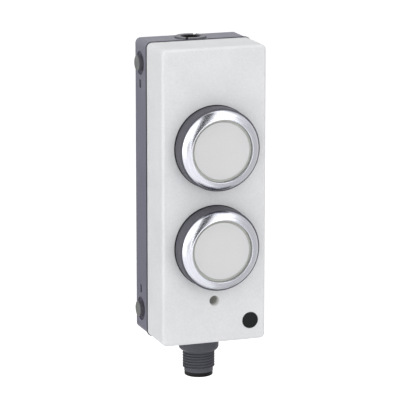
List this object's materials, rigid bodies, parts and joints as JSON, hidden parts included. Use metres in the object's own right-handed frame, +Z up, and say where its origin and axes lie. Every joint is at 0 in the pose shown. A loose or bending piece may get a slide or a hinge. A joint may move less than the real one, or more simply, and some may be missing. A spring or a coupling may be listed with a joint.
{
  "type": "pushbutton control station",
  "caption": "Slim wall-mounted control station with illuminated push buttons in steel bezels, a status light and a round threaded plug connector underneath.",
  "frame": {"origin": "centre of the flat mounting face at the back of the rear housing", "axes": "+X to the right seen from the front, the front panel faces -Y and the wall is on +Y, +Z up"},
  "size_m": [0.0428, 0.0395, 0.1271],
  "materials": {
    "dark_housing": "moulded glass-filled polyamide, fine matt texture",
    "light_cover": "moulded polycarbonate blend, fine grain, satin",
    "black_rubber": "moulded rubber, matt",
    "dark_screw": "moulded head, satin",
    "black_plastic": "moulded polyamide, satin",
    "board": "solder mask over glass fibre laminate",
    "zinc_steel": "zinc plated",
    "led": "clear epoxy over a white carrier",
    "status_lens": "clear grey moulded light guide",
    "connector_plastic": "moulded polyamide, satin",
    "contact_brass": "gold flashed brass",
    "collar_plastic": "moulded polyamide, satin",
    "bezel_steel": "turned and brushed stainless steel",
    "nut_metal": "die cast, plain",
    "spring_steel": "drawn spring wire",
    "lens": "frosted translucent polycarbonate",
    "diffuser": "milky acrylic",
    "plunger_plastic": "moulded acetal"
  },
  "bodies": {
    "housing": {"rear_housing": "dark_housing", "front_cover": "light_cover", "housing_gasket": "black_rubber", "side_screws": "dark_screw", "top_ring": "dark_housing", "top_insert": "black_plastic", "circuit_board": "board", "board_screws": "zinc_steel", "status_led": "led", "status_lens": "status_lens", "blank_inlay": "black_plastic", "connector_shell": "connector_plastic", "connector_insert": "black_plastic", "connector_pins": "contact_brass", "connector_seal": "black_rubber", "connector_locknut": "zinc_steel", "upper_collar_seal": "black_rubber", "upper_collar": "collar_plastic", "upper_bezel": "bezel_steel", "upper_fixing_nut": "nut_metal", "upper_wiper_seal": "black_rubber", "upper_return_spring": "spring_steel", "upper_contact_block": "black_plastic", "upper_fixed_contacts": "contact_brass", "upper_led": "led", "lower_collar_seal": "black_rubber", "lower_collar": "collar_plastic", "lower_bezel": "bezel_steel", "lower_fixing_nut": "nut_metal", "lower_wiper_seal": "black_rubber", "lower_return_spring": "spring_steel", "lower_contact_block": "black_plastic", "lower_fixed_contacts": "contact_brass", "lower_led": "led"},
    "upper_button": {"upper_lens": "lens", "upper_diffuser": "diffuser", "upper_plunger": "plunger_plastic", "upper_contact_bridges": "contact_brass"},
    "lower_button": {"lower_lens": "lens", "lower_diffuser": "diffuser", "lower_plunger": "plunger_plastic", "lower_contact_bridges": "contact_brass"}
  },
  "joints": [
    {"name": "upper_press", "type": "slide", "parent": "housing", "child": "upper_button", "axis": [0, 1, 0], "range_m": [0, 0.003], "stiffness_N_per_m": 800, "springref_m": -0.004, "deforming": ["upper_return_spring"]},
    {"name": "lower_press", "type": "slide", "parent": "housing", "child": "lower_button", "axis": [0, 1, 0], "range_m": [0, 0.003], "stiffness_N_per_m": 800, "springref_m": -0.004, "deforming": ["lower_return_spring"]}
  ]
}
